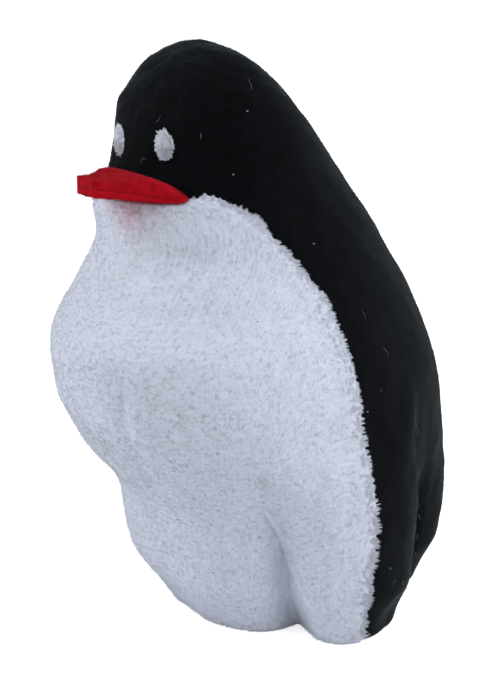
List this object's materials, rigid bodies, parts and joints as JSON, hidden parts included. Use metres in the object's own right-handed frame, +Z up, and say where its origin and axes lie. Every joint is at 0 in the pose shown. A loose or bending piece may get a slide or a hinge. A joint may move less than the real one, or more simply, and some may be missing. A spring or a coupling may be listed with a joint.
{
  "type": "finger puppet",
  "caption": "Plush bird finger puppet: hollow velour body on an open pleated hem, rounded head leaning forward, flat felt beak and embroidered eyes.",
  "frame": {"origin": "on the surface it stands on, below the middle of the outline's bounding box", "axes": "+Z up from the hem to the top of the head, -Y towards the beak, +X towards the puppet's left side"},
  "size_m": [0.0526, 0.0642, 0.088],
  "materials": {
    "white_velour": "short pile knit, bluish white",
    "black_velour": "short dense pile knit, black",
    "red_felt": "pressed felt, red",
    "white_thread": "embroidery thread, white",
    "fibrefill": "loose polyester fibre"
  },
  "bodies": {
    "root": {"front_panel": "white_velour", "back_panel_left": "black_velour", "back_panel_right": "black_velour", "upper_beak": "red_felt", "lower_beak": "red_felt", "eye_left": "white_thread", "eye_right": "white_thread", "head_filling": "fibrefill"}
  },
  "joints": []
}
